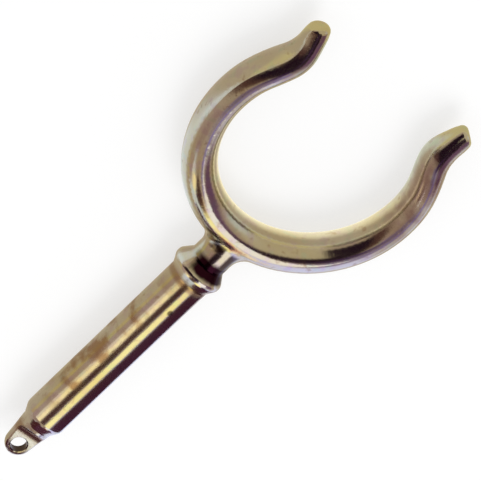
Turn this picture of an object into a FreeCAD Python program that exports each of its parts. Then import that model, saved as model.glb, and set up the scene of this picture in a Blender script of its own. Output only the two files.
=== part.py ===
import FreeCAD, Part
import math
import os
import re
import Sketcher
from FreeCAD import Placement, Rotation, Vector

# A horn rowlock, cast in one piece and lying on its side: the shank runs along +X towards the horns,
# and the plane of the horns is level. Body X is measured from the middle of the collar.
# The shank is a turned profile, the horns are a loft through ovals set out along their bend,
# and the lug at the shank's end is milled flat on both faces.

doc = FreeCAD.newDocument("Rowlock")

sheet = doc.addObject("Spreadsheet::Sheet", "Sizes")
SIZES = [
    # the straight pin that turns in the boat's socket
    ("shank_diameter", 12.7),
    ("shank_length", 60.0),
    # the nose below it, drawn in towards the lug
    ("nose_length", 2.9),
    ("nose_inset", 1.45),
    ("nose_rounding", 2.5),
    ("nose_foot_rounding", 1.0),
    # the lug: the turned end with two flats, and the lanyard eye through them
    ("lug_thickness", 3.0),
    ("lug_shoulder_offset", 4.7),
    ("lug_shoulder_radius", 3.4),
    ("lug_edge_break", 0.3),
    ("eye_offset", 8.3),
    ("eye_diameter", 4.8),
    ("eye_wall", 1.5),
    # the collar that bears on the socket, and the neck that carries the horns
    ("collar_ledge", 1.45),
    ("collar_land", 1.0),
    ("collar_lower_flank", 2.8),
    ("collar_upper_flank", 3.3),
    ("collar_rounding", 1.2),
    ("collar_fillet", 1.5),
    ("neck_diameter", 11.0),
    ("neck_length", 6.6),
    ("neck_fillet", 5.4),
    # the horns: one oval bar bent round the oar
    ("bend_radius", 31.5),
    ("bend_angle", 120.5),
    ("horn_width", 13.4),
    ("crotch_depth", 10.6),
    ("throat_depth", 8.5),
    # past the throat each horn turns outwards and thins to a blunt tip
    ("flare_radius", 12.4),
    ("flare_angle", 47.5),
    ("tip_length", 5.4),
    ("tip_width", 6.0),
    ("tip_depth", 5.4),
    ("tip_lean", 20.0),
    ("tip_rounding", 1.7),
]
for row, (alias, value) in enumerate(SIZES, start=1):
    sheet.set(f"A{row}", alias)
    sheet.set(f"B{row}", str(value))
    sheet.setAlias(f"B{row}", alias)
doc.recompute()

body = doc.addObject("PartDesign::Body", "rowlock")
body.Label = "rowlock"


def named(text):
    """Writes an expression: every word that is a cell's alias gets the sheet's name before it."""
    aliases = "|".join(alias for alias, value in SIZES)
    return re.sub(rf"\b({aliases})\b", r"Sizes.\1", text)


def measure(text):
    """The number that an expression of the sheet comes to."""
    return float(body.evalExpression(named(text)))


def origin_feature(role):
    return next(feature for feature in body.Origin.OriginFeatures if feature.Role == role)


def new_sketch(name, plane):
    sketch = body.newObject("Sketcher::SketchObject", name)
    sketch.AttachmentSupport = (origin_feature(plane), [""])
    sketch.MapMode = "FlatFace"
    return sketch


def set_dimension(sketch, kind, geometry, text):
    """Adds a dimension to the sketch and ties it to the sheet."""
    index = sketch.addConstraint(Sketcher.Constraint(kind, *geometry, measure(text)))
    sketch.setExpression(f"Constraints[{index}]", named(text))


def place_point(sketch, geometry, point, along, across):
    """Ties one point of a sketch to its distances from the sketch's origin."""
    set_dimension(sketch, "DistanceX", (-1, 1, geometry, point), along)
    set_dimension(sketch, "DistanceY", (-1, 1, geometry, point), across)


def add_chain(sketch, corners):
    """Draws lines from corner to corner, each corner tied to the sheet. Returns the lines' numbers."""
    points = [Vector(measure(along), measure(across), 0) for along, across in corners]
    lines = [sketch.addGeometry(Part.LineSegment(*pair)) for pair in zip(points, points[1:])]
    for line, (along, across) in zip(lines, corners):
        place_point(sketch, line, 1, along, across)
    for line, following in zip(lines, lines[1:]):
        sketch.addConstraint(Sketcher.Constraint("Coincident", line, 2, following, 1))
    place_point(sketch, lines[-1], 2, *corners[-1])
    return lines


def finish(feature):
    """Builds a feature and stops if the body didn't come out of it as one sound solid."""
    doc.recompute()
    if "Invalid" in feature.State:
        raise RuntimeError(f"{feature.Name} failed: {feature.State}")
    if not feature.Shape.isValid() or len(feature.Shape.Solids) != 1:
        raise RuntimeError(f"{feature.Name} is not one sound solid")
    return feature


def cut_through(sketch, name, depth):
    """Pockets a sketch both ways and makes sure that it took metal away."""
    before = body.Shape.Volume
    pocket = body.newObject("PartDesign::Pocket", name)
    pocket.Profile = sketch
    pocket.Midplane = True
    pocket.setExpression("Length", named(depth))
    finish(pocket)
    if pocket.Shape.Volume >= before:
        raise RuntimeError(f"{name} cuts nothing")
    return pocket


def dress_edges(kind, name, size, belongs):
    """Puts a Fillet or a Chamfer on every edge of the body so far that the test picks."""
    carrier = body.Tip
    numbered = enumerate(carrier.Shape.Edges, start=1)
    dressing = body.newObject(f"PartDesign::{kind}", name)
    dressing.Base = (carrier, [f"Edge{number}" for number, edge in numbered if belongs(edge)])
    dressing.setExpression("Radius" if kind == "Fillet" else "Size", named(size))
    return finish(dressing)


def round_edges(name, radius, belongs):
    return dress_edges("Fillet", name, radius, belongs)


# Widths that follow from others, and places along the shank measured from the middle of the collar.
NOSE_DIAMETER = "(shank_diameter - 2 * nose_inset)"
COLLAR_DIAMETER = "(shank_diameter + 2 * collar_ledge)"
LUG_END_RADIUS = "(eye_diameter / 2 + eye_wall)"
COLLAR_BOTTOM = "0 - collar_land / 2 - collar_lower_flank"
NOSE_TOP = f"{COLLAR_BOTTOM} - shank_length"
NOSE_BOTTOM = f"{NOSE_TOP} - nose_length"
EYE_CENTRE = f"{NOSE_BOTTOM} - eye_offset"
COLLAR_TOP = "collar_land / 2 + collar_upper_flank"
CROTCH_UNDERSIDE = f"{COLLAR_TOP} + neck_length"
CROTCH_CENTRE = f"{CROTCH_UNDERSIDE} + crotch_depth / 2"
BEND_CENTRE = f"{CROTCH_CENTRE} + bend_radius"


# The turned part: neck, collar, shank, nose and the round end of the lug, about the X axis.
turned = new_sketch("TurnedProfile", "XY_Plane")
outline = add_chain(
    turned,
    [
        (NOSE_BOTTOM, f"{NOSE_DIAMETER} / 2"),
        (NOSE_TOP, "shank_diameter / 2"),
        (COLLAR_BOTTOM, "shank_diameter / 2"),
        ("0 - collar_land / 2", f"{COLLAR_DIAMETER} / 2"),
        ("collar_land / 2", f"{COLLAR_DIAMETER} / 2"),
        (COLLAR_TOP, "neck_diameter / 2"),
        (CROTCH_CENTRE, "neck_diameter / 2"),
        (CROTCH_CENTRE, "0"),
    ],
)
eye_x = measure(EYE_CENTRE)
end_radius = measure(LUG_END_RADIUS)
end_circle = Part.Circle(Vector(eye_x, 0, 0), Vector(0, 0, 1), end_radius)
round_end = turned.addGeometry(Part.ArcOfCircle(end_circle, math.pi / 2, math.pi))
flank_end = Vector(measure(NOSE_BOTTOM), measure(f"{NOSE_DIAMETER} / 2"), 0)
flank = turned.addGeometry(Part.LineSegment(Vector(eye_x, end_radius, 0), flank_end))
axis = turned.addGeometry(
    Part.LineSegment(Vector(measure(CROTCH_CENTRE), 0, 0), Vector(eye_x - end_radius, 0, 0))
)
set_dimension(turned, "Radius", (round_end,), LUG_END_RADIUS)
place_point(turned, round_end, 3, EYE_CENTRE, "0")
turned.addConstraint(
    [
        Sketcher.Constraint("Tangent", flank, 1, round_end, 1),
        Sketcher.Constraint("Coincident", flank, 2, outline[0], 1),
        Sketcher.Constraint("Coincident", outline[-1], 2, axis, 1),
        Sketcher.Constraint("Coincident", axis, 2, round_end, 2),
        Sketcher.Constraint("PointOnObject", round_end, 2, -1),
    ]
)
shank = body.newObject("PartDesign::Revolution", "Shank")
shank.Profile = turned
shank.ReferenceAxis = (turned, ["H_Axis"])
shank.Angle = 360
finish(shank)


# A closed cubic curve through eight poles set out on an ellipse lies inside it by this share.
POLE_COUNT = 8
POLE_SPREAD = 3 / (2 + math.cos(math.radians(360 / POLE_COUNT)))


def oval_section(name, along, aside, turn, depth, width):
    """Draws one oval across the bar: depth in the plane of the horns, width square to it."""
    sketch = new_sketch(name, "XZ_Plane")
    sketch.AttachmentOffset = Placement(Vector(0, 0, 0), Rotation(Vector(0, 1, 0), measure(turn)))
    sketch.setExpression("AttachmentOffset.Base.x", named(along))
    sketch.setExpression("AttachmentOffset.Base.z", named(f"0 - ({aside})"))
    sketch.setExpression("AttachmentOffset.Rotation.Angle", named(turn))
    poles = []
    for number in range(POLE_COUNT):
        bearing = math.radians(360 / POLE_COUNT * number)
        share_of_depth = round(POLE_SPREAD * math.cos(bearing) / 2, 6)
        share_of_width = round(POLE_SPREAD * math.sin(bearing) / 2, 6)
        poles.append((f"({depth}) * {share_of_depth}", f"({width}) * {share_of_width}"))
    points = [Vector(measure(across), measure(up), 0) for across, up in poles]
    oval = sketch.addGeometry(Part.BSplineCurve(points, None, None, True, 3, None, False))
    sketch.exposeInternalGeometry(oval)
    for number, (across, up) in enumerate(poles, start=oval + 1):
        place_point(sketch, number, 3, across, up)
    return sketch


def horn_sections(side):
    """Sections of one horn from the crotch to its tip; side is 1 or -1."""
    sections = []
    bend_steps = 8
    for step in range(1, bend_steps + 1):
        bearing = f"bend_angle * {step} / {bend_steps}"
        swell = f"(1 + cos(180 * {step} / {bend_steps})) / 2"
        sections.append(
            (
                f"{BEND_CENTRE} - bend_radius * cos({bearing})",
                f"{side} * bend_radius * sin({bearing})",
                f"180 - {side} * {bearing}",
                f"throat_depth + (crotch_depth - throat_depth) * {swell}",
                "horn_width",
            )
        )
    flare_steps = 3
    flare_length = "flare_radius * flare_angle * pi / 180"
    reach = "(bend_radius + flare_radius)"
    for step in range(1, flare_steps + 1):
        bearing = f"(bend_angle - flare_angle * {step} / {flare_steps})"
        along = f"{BEND_CENTRE} - {reach} * cos(bend_angle) + flare_radius * cos({bearing})"
        aside = f"{side} * ({reach} * sin(bend_angle) - flare_radius * sin({bearing}))"
        # the width thins evenly from the throat on, the depth mostly towards the tip
        share = f"({flare_length} * {step} / {flare_steps} / ({flare_length} + tip_length))"
        sections.append(
            (
                along,
                aside,
                f"180 - {side} * {bearing}",
                f"throat_depth - (throat_depth - tip_depth) * {share} ^ 2",
                f"horn_width - (horn_width - tip_width) * {share} ^ 1.4",
            )
        )
    # the straight end, its face leaning so that the inner side is the longer one
    sections.append(
        (
            f"{along} + tip_length * sin({bearing})",
            f"{aside} + {side} * tip_length * cos({bearing})",
            f"180 - {side} * ({bearing} - tip_lean)",
            "tip_depth",
            "tip_width",
        )
    )
    return sections


crotch = (CROTCH_CENTRE, "0", "180", "crotch_depth", "horn_width")
stations = [*reversed(horn_sections(-1)), crotch, *horn_sections(1)]
ovals = [oval_section(f"HornSection{number}", *station) for number, station in enumerate(stations)]
doc.recompute()
horns = body.newObject("PartDesign::AdditiveLoft", "Horns")
horns.Profile = ovals[0]
horns.Sections = ovals[1:]
horns.Ruled = False
horns.Closed = False
finish(horns)

# How near an edge must come to the place that it is looked for at.
NEAR = 0.05


def joins_neck_to_horns(edge):
    middle = edge.valueAt((edge.FirstParameter + edge.LastParameter) / 2)
    off_neck = abs(math.hypot(middle.y, middle.z) - measure("neck_diameter / 2"))
    return off_neck < NEAR and measure(COLLAR_TOP) + NEAR < middle.x < measure(CROTCH_CENTRE)


def ring_at(*places):
    """Picks the circles about the shank's axis at these places along it."""
    stops = [measure(place) for place in places]

    def belongs(edge):
        box = edge.BoundBox
        square_to_axis = edge.isClosed() and box.XLength < NEAR
        return square_to_axis and any(abs(box.Center.x - stop) < NEAR for stop in stops)

    return belongs


round_edges("NeckFillet", "neck_fillet", joins_neck_to_horns)
round_edges("CollarEdge", "collar_rounding", ring_at("0 - collar_land / 2", "collar_land / 2"))
round_edges("CollarFoot", "collar_fillet", ring_at(COLLAR_BOTTOM, COLLAR_TOP))
round_edges("NoseEdge", "nose_rounding", ring_at(NOSE_TOP))
round_edges("NoseFoot", "nose_foot_rounding", ring_at(NOSE_BOTTOM))

# The lug: a flat cut from above that ends in a hollow shoulder, and the same from below.
SHOULDER = f"{NOSE_BOTTOM} - lug_shoulder_offset"
BEYOND_END = f"{EYE_CENTRE} - 2 * {LUG_END_RADIUS}"
BEYOND_SIDE = "shank_diameter"
flat = new_sketch("LugFlat", "XZ_Plane")
edge_of_flat = add_chain(
    flat,
    [
        (f"{SHOULDER} + lug_shoulder_radius", "lug_thickness / 2 + lug_shoulder_radius"),
        (f"{SHOULDER} + lug_shoulder_radius", BEYOND_SIDE),
        (BEYOND_END, BEYOND_SIDE),
        (BEYOND_END, "lug_thickness / 2"),
        (SHOULDER, "lug_thickness / 2"),
    ],
)
hollow_radius = measure("lug_shoulder_radius")
hollow_centre = Vector(measure(SHOULDER), measure("lug_thickness / 2") + hollow_radius, 0)
hollow_circle = Part.Circle(hollow_centre, Vector(0, 0, 1), hollow_radius)
hollow = flat.addGeometry(Part.ArcOfCircle(hollow_circle, -math.pi / 2, 0))
flat.addConstraint(
    [
        Sketcher.Constraint("Coincident", edge_of_flat[-1], 2, hollow, 1),
        Sketcher.Constraint("Coincident", hollow, 2, edge_of_flat[0], 1),
    ]
)
set_dimension(flat, "Radius", (hollow,), "lug_shoulder_radius")
upper_flat = cut_through(flat, "UpperFlat", "2 * shank_diameter")
both_flats = body.newObject("PartDesign::Mirrored", "BothFlats")
both_flats.Originals = [upper_flat]
both_flats.MirrorPlane = (origin_feature("XY_Plane"), [""])
body.Tip = both_flats
finish(both_flats)

eye = new_sketch("EyeOutline", "XY_Plane")
eye_radius = measure("eye_diameter / 2")
eye_circle = eye.addGeometry(Part.Circle(Vector(eye_x, 0, 0), Vector(0, 0, 1), eye_radius))
place_point(eye, eye_circle, 3, EYE_CENTRE, "0")
set_dimension(eye, "Radius", (eye_circle,), "eye_diameter / 2")
cut_through(eye, "Eye", "2 * lug_thickness")


def on_lug_face(edge):
    """The outer edges of the lug's two faces and the rims of its eye, but not the shoulder's line."""
    box = edge.BoundBox
    face_level = measure("lug_thickness / 2")
    level = box.ZLength < NEAR and abs(abs(box.Center.z) - face_level) < NEAR
    return level and box.XMax < measure(SHOULDER) + NEAR and box.XLength > NEAR


# The broken edges of the eye's rim and of the lug's end must both fit on the wall between them.
dress_edges("Chamfer", "LugEdges", "min(lug_edge_break; 0.4 * eye_wall)", on_lug_face)


def on_tip_face(edge):
    return edge.isClosed() and abs(edge.CenterOfMass.y) > measure("tip_depth")


# The rounding stays a little within the tightest curve of the tip's oval, or it would meet itself.
TIGHTEST_CURVE = "min(tip_depth ^ 2 / tip_width; tip_width ^ 2 / tip_depth) / 2"
round_edges("TipEdges", f"min(tip_rounding; 0.8 * {TIGHTEST_CURVE})", on_tip_face)

# The rowlock lies on the floor, its middle over the frame's origin.
lying = body.Shape.optimalBoundingBox(False, False)
body.Placement = Placement(Vector(-lying.Center.x, -lying.Center.y, -lying.ZMin), Rotation())
doc.recompute()

for item in doc.Objects:
    if "Invalid" in item.State or "Error" in item.State:
        raise RuntimeError(f"{item.Name} is in error")
if body.Shape.isNull() or not body.Shape.isValid():
    raise RuntimeError(f"{body.Label} has no sound shape")

os.makedirs("parts", exist_ok=True)
body.Shape.exportStep(f"parts/{body.Label}.step")
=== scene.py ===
import math

import bpy
from mathutils import Matrix, Vector

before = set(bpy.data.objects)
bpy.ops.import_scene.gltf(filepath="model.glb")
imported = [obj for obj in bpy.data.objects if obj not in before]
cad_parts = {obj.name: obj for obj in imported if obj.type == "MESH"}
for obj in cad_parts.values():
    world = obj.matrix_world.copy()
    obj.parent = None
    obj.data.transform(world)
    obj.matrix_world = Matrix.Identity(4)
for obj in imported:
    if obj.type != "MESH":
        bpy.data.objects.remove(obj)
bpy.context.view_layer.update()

# The camera looks down on the rowlock from beyond its left horn, from 1.3 m away through a long lens.
# It is turned nearly upside down about its own line of sight, so that the shank hangs to the lower left
# of the picture and the horns open to the upper right.
aim = Vector((0.01242, -0.00415, 0.00485))
distance = 1.3
azimuth, elevation, roll = math.radians(50.79), math.radians(54.84), math.radians(170.0)
towards_camera = Vector(
    (
        math.cos(elevation) * math.cos(azimuth),
        math.cos(elevation) * math.sin(azimuth),
        math.sin(elevation),
    )
)
bpy.ops.object.camera_add(location=aim + distance * towards_camera)
camera = bpy.context.object
camera.name = "camera"
upright = towards_camera.to_track_quat("Z", "Y").to_matrix()
camera.rotation_euler = (upright @ Matrix.Rotation(roll, 3, "Z")).to_euler()
camera.data.sensor_width = 36.0
camera.data.lens = 358.3
camera.data.clip_end = 20.0
bpy.context.scene.camera = camera
bpy.context.scene.view_settings.view_transform = "Standard"


# The floor is one wide sheet of matt white paper that the rowlock lies on. To the camera and in the
# metal it is a plain white, and it keeps the rowlock's soft shadow.
floor_size = 8.0
paper_grey = (0.4, 0.4, 0.4, 1)
paper_glow = 0.63


class Shade:
    """A socket among one material's nodes, on which sums are written as in plain Python."""

    def __init__(self, tree, socket=None):
        self.tree, self.socket = tree, socket

    def node(self, kind, settings=None, inputs=None, output=0):
        """Adds a node of any kind: its settings first, then the values or links of its sockets."""
        new = self.tree.nodes.new(kind)
        for name, setting in (settings or {}).items():
            setattr(new, name, setting)
        for name, given in (inputs or {}).items():
            if isinstance(given, Shade):
                self.tree.links.new(given.socket, new.inputs[name])
            else:
                new.inputs[name].default_value = given
        return None if output is None else Shade(self.tree, new.outputs[output])

    def other(self, name):
        """Another output of the same node."""
        return Shade(self.tree, self.socket.node.outputs[name])

    def math(self, operation, *values):
        return self.node("ShaderNodeMath", {"operation": operation}, dict(enumerate(values)))

    def __add__(self, other):
        return self.math("ADD", self, other)

    __radd__ = __add__

    def __sub__(self, other):
        return self.math("SUBTRACT", self, other)

    def __rsub__(self, other):
        return self.math("SUBTRACT", other, self)

    def __mul__(self, other):
        return self.math("MULTIPLY", self, other)

    __rmul__ = __mul__

    def __or__(self, other):
        """Two masks in one: the larger of them at each place."""
        return self.math("MAXIMUM", self, other)

    def length(self, other):
        """The length of the slant whose two square sides are this and the other."""
        return self.math("SQRT", self * self + other * other)

    def ramp(self, start, end):
        """0 up to start, 1 from end on, and an eased rise between them. Start may be the larger."""
        limits = {"From Min": start, "From Max": end}
        eased = {"interpolation_type": "SMOOTHSTEP"}
        return self.node("ShaderNodeMapRange", eased, {"Value": self, **limits})

    def band(self, start, full, fading, end):
        """0 up to start, 1 from full to fading, and 0 again from end on."""
        return self.ramp(start, full) * self.ramp(end, fading)

    def blend(self, first, second):
        """The first colour where this is 0, and the second where it is 1."""
        colours = {0: self, 6: first, 7: second}
        return self.node("ShaderNodeMix", {"data_type": "RGBA"}, colours, output=2)


bpy.ops.object.select_all(action="DESELECT")
bpy.ops.mesh.primitive_plane_add(size=floor_size, location=(0, 0, 0))
floor = bpy.context.object
floor.name = "floor"
paper = bpy.data.materials.new("white_paper")
paper.use_nodes = True
paper.node_tree.nodes.clear()
sheet = Shade(paper.node_tree)
ray = sheet.node("ShaderNodeLightPath", output="Is Camera Ray")
seen = ray + ray.other("Is Glossy Ray") + ray.other("Is Transmission Ray")
matt = sheet.node("ShaderNodeBsdfDiffuse", None, {"Color": paper_grey})
glow = sheet.node("ShaderNodeEmission", None, {"Color": (1, 1, 1, 1), "Strength": paper_glow * seen})
both = sheet.node("ShaderNodeAddShader", None, {0: matt, 1: glow})
sheet.node("ShaderNodeOutputMaterial", None, {"Surface": both}, output=None)
floor.data.materials.append(paper)


# The room is plain and pale, and lights the floor evenly. Polished metal shows little but the room, so
# what it mirrors has the tones of a workshop: taupe walls with paler and browner lengths, a dark ceiling
# and a darker place behind the camera.
room_light = (0.70, 0.70, 0.70, 1)
room_backdrop = (0.97, 0.97, 0.97, 1)
taupe_wall = (0.56, 0.44, 0.33, 1)
buff_wall = (0.70, 0.62, 0.44)
grey_wall = (0.78, 0.80, 0.74)
brown_wall = (0.45, 0.32, 0.26)
lilac_wall = (0.74, 0.68, 0.76)
pale_window = (0.96, 1.08, 1.24)
blue_window = (1.05, 1.10, 1.70)
violet_lintel = (0.36, 0.29, 0.60)
cream_lamp = (1.55, 1.35, 1.10)
plum_curtain = (0.20, 0.10, 0.19)
dusky_ceiling = (0.27, 0.20, 0.34)
dark_ceiling = (0.06, 0.02, 0.10)
black_beam = (0.02, 0.002, 0.016)
dark_doorpost = (0.11, 0.045, 0.04)
black_doorway = (0.015, 0.001, 0.012)
orange_lamp = (0.90, 0.40, 0.26)
red_curtain = (0.18, 0.02, 0.02)

world = bpy.context.scene.world or bpy.data.worlds.new("room")
bpy.context.scene.world = world
world.use_nodes = True
world.node_tree.nodes.clear()
room = Shade(world.node_tree)
outwards = room.node("ShaderNodeTexCoord", output="Generated")
along_x = room.node("ShaderNodeSeparateXYZ", None, {"Vector": outwards}, output="X")
round_room = room.math("ARCTAN2", along_x.other("Y"), along_x) * math.degrees(1)
up = room.math("ARCSINE", along_x.other("Z")) * math.degrees(1)


def panel(behind, colour, middle, half_width, low, high, side, edge):
    """One panel of the room over what is behind it, placed in degrees round it and up from the floor.

    Its middle is counted from straight ahead of the horns. It fades over side across each of its two
    sides, and over edge across its foot and its head.
    """
    # the turn from its middle, the shorter way round
    turn = room.math("MODULO", round_room - middle + 540.0, 360.0) - 180.0
    aside = room.math("ABSOLUTE", turn)
    across_it = aside.ramp(half_width + side / 2, half_width - side / 2)
    up_it = up.band(low - edge / 2, low + edge / 2, high - edge / 2, high + edge / 2)
    return (across_it * up_it).blend(behind, (*colour, 1))


# the walls
shown = panel(taupe_wall, buff_wall, middle=2, half_width=42, low=-90, high=60, side=14, edge=22)
shown = panel(shown, grey_wall, middle=-38, half_width=13, low=-90, high=26, side=20, edge=24)
shown = panel(shown, brown_wall, middle=142, half_width=20, low=18, high=62, side=22, edge=20)
shown = panel(shown, lilac_wall, middle=-112, half_width=16, low=-90, high=40, side=24, edge=18)

# the windows past the shank's end and to its right, with what stands and hangs beside them
shown = panel(shown, pale_window, middle=176, half_width=19, low=-90, high=32, side=14, edge=20)
shown = panel(shown, blue_window, middle=-134, half_width=12, low=-90, high=42, side=10, edge=20)
shown = panel(shown, violet_lintel, middle=-122, half_width=18, low=46, high=76, side=14, edge=14)
shown = panel(shown, cream_lamp, middle=-149, half_width=5, low=6, high=50, side=5, edge=10)
shown = panel(shown, plum_curtain, middle=-80, half_width=18, low=14, high=70, side=16, edge=12)

# the ceiling, which reaches all round, and its beam ahead
shown = panel(shown, dusky_ceiling, middle=180, half_width=60, low=64, high=120, side=40, edge=16)
shown = panel(shown, dark_ceiling, middle=0, half_width=181, low=78, high=120, side=40, edge=10)
shown = panel(shown, black_beam, middle=5, half_width=95, low=60, high=82, side=30, edge=10)

# the dark place behind the camera, and one more light and one more dark between the windows
shown = panel(shown, dark_doorpost, middle=93, half_width=10, low=6, high=64, side=14, edge=12)
shown = panel(shown, black_doorway, middle=64, half_width=23, low=14, high=78, side=6, edge=12)
shown = panel(shown, orange_lamp, middle=-154, half_width=4, low=8, high=46, side=4, edge=10)
shown = panel(shown, red_curtain, middle=-162, half_width=6, low=-35, high=42, side=5, edge=8)

glossy = room.node("ShaderNodeLightPath", output="Is Glossy Ray")
tones = glossy.blend(room_light, shown)
backdrop = glossy.other("Is Camera Ray").blend(tones, room_backdrop)
air = room.node("ShaderNodeBackground", None, {"Color": backdrop, "Strength": 1.0})
room.node("ShaderNodeOutputWorld", None, {"Surface": air}, output=None)


# One soft lamp hangs high to the right of the shank and gives the shadow. What the metal shows of lamps
# is left to the cards below, which are laid out one by one.
lamp_distance, lamp_size, lamp_power = 1.4, 0.9, 7.0
lamp_azimuth, lamp_elevation = math.radians(-108), math.radians(57)
lamp_place = lamp_distance * Vector(
    (
        math.cos(lamp_elevation) * math.cos(lamp_azimuth),
        math.cos(lamp_elevation) * math.sin(lamp_azimuth),
        math.sin(lamp_elevation),
    )
)
bpy.ops.object.light_add(type="AREA", location=lamp_place)
lamp = bpy.context.object
lamp.name = "soft_lamp"
lamp.data.size = lamp_size
lamp.data.energy = lamp_power
lamp.rotation_euler = lamp_place.to_track_quat("Z", "X").to_euler()
lamp.visible_glossy = False


# Cards stand and hang round the rowlock, as they do when polished metal is photographed. White ones
# above the shank draw the bright lines along it, and dark and coloured ones shade its sides.
axis_height = 0.0078
over_shank = (-0.088, -0.0222)
past_shank = (-0.095, -0.010)


def card(name, corners, colour):
    """A flat card that only metal shows, through four corners given in turn round it."""
    bpy.ops.object.select_all(action="DESELECT")
    bpy.ops.mesh.primitive_plane_add(size=1.0)
    sheet_of_card = bpy.context.object
    sheet_of_card.name = name
    # a new plane counts its corners row by row, not round it
    first, second, third, fourth = corners
    for point, corner in zip(sheet_of_card.data.vertices, (first, second, fourth, third)):
        point.co = corner
    paint = bpy.data.materials.new(name)
    paint.use_nodes = True
    paint.node_tree.nodes.clear()
    plain = Shade(paint.node_tree)
    light = plain.node("ShaderNodeEmission", None, {"Color": (*colour, 1), "Strength": 1.0})
    plain.node("ShaderNodeOutputMaterial", None, {"Surface": light}, output=None)
    sheet_of_card.data.materials.append(paint)
    sheet_of_card.visible_camera = sheet_of_card.visible_diffuse = False
    sheet_of_card.visible_shadow = sheet_of_card.visible_transmission = False
    return sheet_of_card


def strip(name, reach, spread, away, colour, soft_end=0.002, soft_side=6.0):
    """A card along the shank whose edges fade.

    It reaches between two places along the shank and hangs so far away from its axis. From there it
    spreads between two angles, in degrees from upright towards +Y.
    """
    first, last = reach[0] - soft_end / 2, reach[1] + soft_end / 2
    lowest, highest = spread[0] - soft_side / 2, spread[1] + soft_side / 2
    turns = [math.radians(angle) for angle in (lowest, highest)]
    sides = [(away * math.sin(turn), axis_height + away * math.cos(turn)) for turn in turns]
    corners = [(first, *sides[0]), (last, *sides[0]), (last, *sides[1]), (first, *sides[1])]
    whole = card(name, corners, colour)
    edged = Shade(whole.material_slots[0].material.node_tree)
    point = edged.node("ShaderNodeTexCoord", output="Object")
    x = edged.node("ShaderNodeSeparateXYZ", None, {"Vector": point}, output="X")
    turn = edged.math("ARCTAN2", x.other("Y"), x.other("Z") - axis_height) * math.degrees(1)
    cover = x.band(first, first + soft_end, last - soft_end, last)
    cover = cover * turn.band(lowest, lowest + soft_side, highest - soft_side, highest)
    gone = edged.node("ShaderNodeBsdfTransparent")
    lit = Shade(edged.tree, edged.tree.nodes["Emission"].outputs[0])
    faded = edged.node("ShaderNodeMixShader", None, {0: cover, 1: gone, 2: lit})
    edged.tree.links.new(faded.socket, edged.tree.nodes["Material Output"].inputs["Surface"])


strip("white_card_left", over_shank, (28, 47), 0.05, (1.62, 1.42, 0.86), soft_end=0.003)
strip("pale_card_left", over_shank, (47, 58), 0.05, (1.15, 1.02, 0.80), soft_end=0.003)
strip("white_card_right", over_shank, (-31, -5), 0.05, (1.70, 1.58, 0.78), soft_end=0.003)
strip("black_card_above", (-0.092, -0.010), (1, 23), 0.053, (0.09, 0.035, 0.035))
strip("black_card_right", (-0.070, -0.0090), (-98, -30), 0.020, (0.075, 0.018, 0.05))
strip("mauve_card_left", past_shank, (60, 82), 0.052, (0.56, 0.42, 0.37))
strip("olive_card_left", past_shank, (82, 108), 0.052, (0.70, 0.58, 0.29))


def upright_card(name, x, right, left, low, high, colour):
    """A card standing across the shank's line, which it faces."""
    card(name, [(x, right, low), (x, left, low), (x, left, high), (x, right, high)], colour)


def level_card(name, start, end, right, left, height, colour):
    """A card lying level."""
    flat = [(start, right, height), (end, right, height), (end, left, height), (start, left, height)]
    return card(name, flat, colour)


past_lug = -0.085
upright_card("black_card_behind", past_lug, -0.024, 0.003, 0.0105, 0.028, (0.11, 0.03, 0.06))
upright_card("black_card_aside", past_lug, 0.003, 0.0125, 0.0105, 0.031, (0.09, 0.02, 0.025))
level_card("white_card_over_lug", -0.106, -0.090, -0.036, -0.014, 0.05, (1.55, 1.6, 1.6))
level_card("white_card_over_crotch", -0.025, 0.014, -0.048, -0.006, 0.06, (1.5, 1.47, 1.5))

# grey paper lies under the rowlock: cream inside the horns, pale to the left of the crotch, lavender to
# the right of the shank and olive under the tips
sheet_edge, sheet_height = 0.6, 0.0002
bend_centre = 0.04675
grey, olive = (0.64, 0.55, 0.41, 1), (0.82, 0.74, 0.42, 1)
lavender, ice = (1.0, 1.05, 1.40, 1), (0.98, 1.06, 1.12, 1)
cream, faded_cream = (1.38, 1.30, 0.96, 1), (0.86, 0.90, 0.76, 1)
square = (-sheet_edge, sheet_edge, -sheet_edge, sheet_edge)
cloth = level_card("grey_paper", *square, sheet_height, (1, 1, 1))
ground = Shade(cloth.material_slots[0].material.node_tree)
where = ground.node("ShaderNodeTexCoord", output="Object")
ground_x = ground.node("ShaderNodeSeparateXYZ", None, {"Vector": where}, output="X")
ground_y = ground_x.other("Y")
from_bend_centre = (ground_x - bend_centre).length(ground_y)
inside = from_bend_centre.band(0.0150, 0.0260, 0.029, 0.034) * ground_x.ramp(0.085, 0.070)
right = (-0.87 * ground_x - 0.50 * ground_y).ramp(0.000, 0.050) * ground_y.ramp(0.002, -0.012)
left = from_bend_centre.ramp(0.0355, 0.0400) * ground_x.band(-0.012, 0.000, 0.020, 0.044)
left = left * ground_y.ramp(0.008, 0.016)
tone = ground_x.ramp(0.066, 0.074).blend(grey, olive)
tone = right.blend(tone, lavender)
tone = left.blend(tone, ice)
tone = inside.blend(tone, ground_x.ramp(0.036, 0.056).blend(cream, faded_cream))
ground.tree.links.new(tone.socket, ground.tree.nodes["Emission"].inputs["Color"])


# The rowlock is one casting, ground and polished by hand and then chromed. The plating is a little
# stained.
# Painted shade makes it brownest in the hollows, and the polishing has left the surface faintly uneven.
clean, warm = (0.56, 0.53, 0.46, 1), (0.52, 0.46, 0.33, 1)
mauve, green = (0.50, 0.41, 0.42, 1), (0.46, 0.50, 0.40, 1)
# brown for stain and painted shade, near black for painted shade and a dark blotch, pale grey for a
# painted highlight
brown_stain_and_shade, grey_tarnish = (0.30, 0.17, 0.09, 1), (0.34, 0.24, 0.22, 1)
shade_and_blotch_black, painted_rim_highlight = (0.022, 0.004, 0.010, 1), (0.62, 0.59, 0.52, 1)

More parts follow.
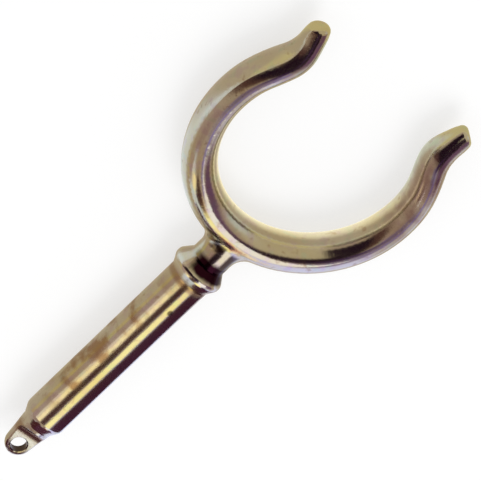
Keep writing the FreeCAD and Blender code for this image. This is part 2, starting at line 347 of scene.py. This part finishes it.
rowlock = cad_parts["rowlock"]
metal = bpy.data.materials.new("worn_chrome")
metal.use_nodes = True
metal.node_tree.nodes.clear()
chrome = Shade(metal.node_tree)
spot = chrome.node("ShaderNodeTexCoord", output="Object")
at_x = chrome.node("ShaderNodeSeparateXYZ", None, {"Vector": spot}, output="X")
at_y, at_z = at_x.other("Y"), at_x.other("Z") - axis_height


def cloud(size, detail, shift):
    """An uneven pattern from 0 to 1 whose patches are about this many metres across."""
    aside = {0: spot, 1: (shift, shift, shift)}
    moved = chrome.node("ShaderNodeVectorMath", {"operation": "ADD"}, aside)
    return chrome.node("ShaderNodeTexNoise", None, {"Vector": moved, "Scale": 1 / size, "Detail": detail})


# the plating has yellowed in places, and mauve and green tints run through it
colour = cloud(0.022, 2, 0.3).ramp(0.35, 0.65).blend(clean, warm)
colour = (cloud(0.0035, 3, 0.7).ramp(0.50, 0.68) * 0.65).blend(colour, mauve)
colour = (cloud(0.0030, 3, 3.3).ramp(0.52, 0.70) * 0.60).blend(colour, green)

# painted shade browns the hollows below the collar and under the nose, and stain lies in specks and in
# patches on the shank's left side, which also darken that side as painted shade
collar_foot = at_x.band(-0.0060, -0.0046, -0.0036, -0.0022)
nose_foot = at_x.band(-0.0722, -0.0706, -0.0690, -0.0676)
left_side = at_x.band(-0.062, -0.050, -0.016, -0.004) * at_y.ramp(0.0010, 0.0035)
patches = cloud(0.0075, 4, 1.9).ramp(0.47, 0.62)
specks = cloud(0.0026, 3, 2.6).ramp(0.60, 0.74)
stain_and_shade = (collar_foot | nose_foot) * 0.7 | left_side * patches * 0.8 | specks * 0.4
colour = stain_and_shade.blend(colour, brown_stain_and_shade)

# the right horn is tarnished from beside its bend's centre to its throat
right_horn = at_x.band(0.036, 0.052, 0.066, 0.072) * at_y.ramp(-0.0200, -0.0250)
tarnish = right_horn * cloud(0.0055, 3, 5.2).ramp(0.34, 0.60)
colour = (tarnish * 0.75).blend(colour, grey_tarnish)

# a painted dark reflection is black on the upper side of the collar's flank and of the neck's foot
shade_edge = 0.0012 * cloud(0.003, 2, 8.4)
along_neck = (at_x + shade_edge).ramp(0.0008, 0.0020) * (at_x - shade_edge).ramp(0.0062, 0.0044)
shade_and_blotch = along_neck * at_z.ramp(-0.0010, 0.0020) * (at_y + shade_edge).ramp(0.0064, 0.0042)

# thinner painted shade runs on up the neck to the horns and leaves two pale patches free
crease = at_x.band(0.0082, 0.0092, 0.0112, 0.0122) * at_y.band(0.0006, 0.0016, 0.0042, 0.0056)
middle_line = at_x.band(0.0040, 0.0050, 0.0086, 0.0098) * at_y.band(0.0004, 0.0011, 0.0021, 0.0030)
right_line = at_x.band(0.0046, 0.0056, 0.0104, 0.0118) * at_y.band(-0.0044, -0.0030, -0.0015, -0.0008)
thin_shade = (crease | middle_line | right_line) * at_z.ramp(0.0, 0.0020) * 0.85

# and painted shade lines the eye, and one dark blotch sits on the shank's upper side
eye_centre, eye_radius = -0.07495, 0.0024
from_eye = (at_x - eye_centre).length(at_y)
eye_wall = from_eye.ramp(eye_radius + 0.00022, eye_radius + 0.00003)
blotch_x, blotch_y, blotch_narrowing = -0.0132, -0.0003, 1.265
from_blotch = (at_x - blotch_x).length((at_y - blotch_y) * blotch_narrowing)
blotch = from_blotch.ramp(0.0013, 0.0005) * at_z.ramp(0, 0.001)
shade_and_blotch = shade_and_blotch | thin_shade | eye_wall * 0.9 | blotch * 0.8
colour = shade_and_blotch.blend(colour, shade_and_blotch_black)

# a painted highlight brightens the collar's rim
from_axis = at_y.length(at_z)
rim = from_axis.ramp(0.0070, 0.0077) * at_x.band(-0.004, -0.002, 0.001, 0.003)
colour = (rim * 0.6).blend(colour, painted_rim_highlight)

# the stained and shade-painted places are duller, and the polish has faint waves and fine pits
roughness = 0.12 + 0.08 * cloud(0.007, 3, 4.1) + 0.16 * stain_and_shade
waves = cloud(0.011, 1, 5.5) + cloud(0.0035, 1, 6.2) * 0.18
pits = cloud(0.0006, 2, 7.7).ramp(0.30, 0.45) * 0.05
relief = {"Height": waves + pits, "Strength": 1.0, "Distance": 0.00012}
uneven = chrome.node("ShaderNodeBump", None, relief)
polish = {"Base Color": colour, "Metallic": 1.0, "Roughness": roughness, "Normal": uneven}
surface = chrome.node("ShaderNodeBsdfPrincipled", None, polish)
chrome.node("ShaderNodeOutputMaterial", None, {"Surface": surface}, output=None)
rowlock.material_slots[0].material = metal
